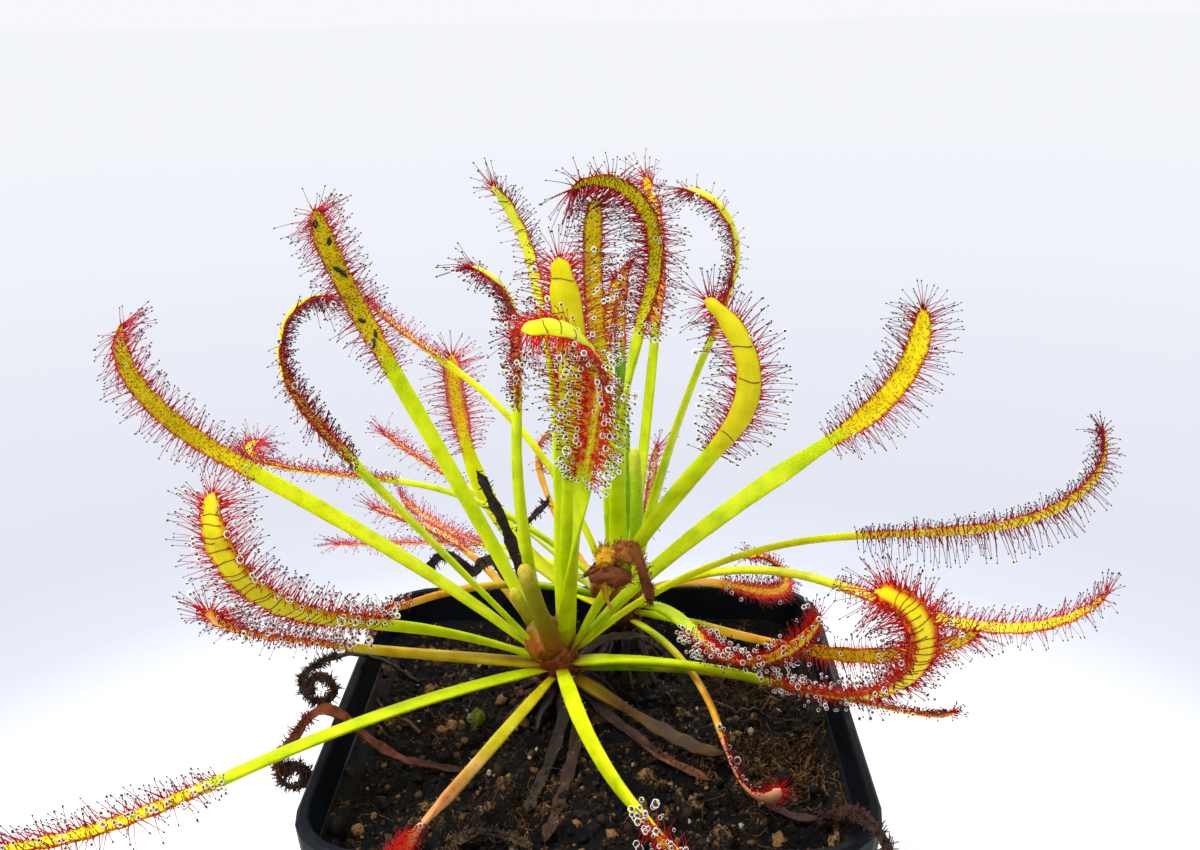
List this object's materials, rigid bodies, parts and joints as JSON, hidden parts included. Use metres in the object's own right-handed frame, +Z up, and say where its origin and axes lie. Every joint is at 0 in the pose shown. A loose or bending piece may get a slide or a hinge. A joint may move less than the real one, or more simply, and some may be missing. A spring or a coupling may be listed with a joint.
{
  "type": "potted sundew",
  "caption": "Sundew with long strap leaves, curled dewy blades and a few dead leaves, growing in peat in a square black nursery pot.",
  "frame": {"origin": "centre of the pot's underside", "axes": "+Z up, the plant's front faces -Y, +X to the viewer's right; the pot's sides are parallel to X and Y"},
  "size_m": [0.1735, 0.1511, 0.1725],
  "materials": {
    "pot_plastic": "thin black nursery-pot plastic, satin to glossy, dusty along the rim",
    "peat": null,
    "crown": "orange-brown knotted stem with translucent scales",
    "leaf_green": null,
    "leaf_amber": "yellow-orange ageing leaf tissue",
    "leaf_pale": "pale yellow-pink leaf tissue",
    "leaf_salmon": "salmon ageing leaf tissue",
    "leaf_withering": "khaki withering leaf, papery",
    "dead_leaf": "brown-black dried leaf, fibrous and matte",
    "tentacle": "crimson gland stalks with dark glossy heads",
    "dew": "clear drops of sticky dew on the glands",
    "leaf_hair": "fine translucent white hairs"
  },
  "bodies": {
    "root": {"pot": "pot_plastic", "soil": "peat", "front_crown": "crown", "rear_crown": "crown", "leaf_withering_right": "leaf_withering", "leaf_front_dying": "leaf_amber", "leaf_right_low_small": "leaf_salmon", "leaf_rear_pink_b": "leaf_pale", "leaf_front_left_long": "leaf_green", "leaf_front_centre": "leaf_green", "leaf_left_yellow": "leaf_amber", "leaf_right_folded": "leaf_green", "leaf_left_low": "leaf_green", "leaf_left_far": "leaf_green", "leaf_right_hook": "leaf_green", "leaf_left_hook": "leaf_green", "leaf_right_upper": "leaf_green", "leaf_centre_right": "leaf_green", "leaf_centre_left": "leaf_green", "leaf_left_upper": "leaf_green", "leaf_centre_hook": "leaf_green", "leaf_centre_front": "leaf_green", "leaf_top_left": "leaf_green", "leaf_front_orange": "leaf_salmon", "leaf_rear_pink_c": "leaf_pale", "leaf_rear_left_pale": "leaf_pale", "leaf_rear_pink_d": "leaf_pale", "leaf_right_pale": "leaf_amber", "leaf_rear_pink_a": "leaf_pale", "leaf_rear_small": "leaf_salmon", "leaf_right_dewy": "leaf_green", "leaf_rear_right_short": "leaf_pale", "leaf_right_long": "leaf_green", "leaf_left_orange": "leaf_amber", "leaf_right_orange": "leaf_salmon", "leaf_left_level": "leaf_green", "leaf_inner_rear": "leaf_green", "leaf_rear_left_thin": "leaf_green", "leaf_behind_arch": "leaf_green", "leaf_top_right": "leaf_green", "leaf_top_arch": "leaf_green", "leaf_inner_orange": "leaf_amber", "leaf_centre_upright": "leaf_green", "young_leaf_tall": "leaf_green", "young_leaf_rolled": "leaf_green", "young_leaf_small": "leaf_green", "dead_left_red": "dead_leaf", "dead_left_black": "dead_leaf", "dead_front_strip_left": "dead_leaf", "dead_front_strip_right": "dead_leaf", "dead_front_lying": "dead_leaf", "dead_right_arch": "dead_leaf", "dead_right_strip": "dead_leaf", "dead_front_right": "dead_leaf", "dead_stalk_tall": "dead_leaf", "dead_stalk_short": "dead_leaf", "dead_rear_fold": "dead_leaf", "dead_rear_left": "dead_leaf"}
  },
  "joints": []
}
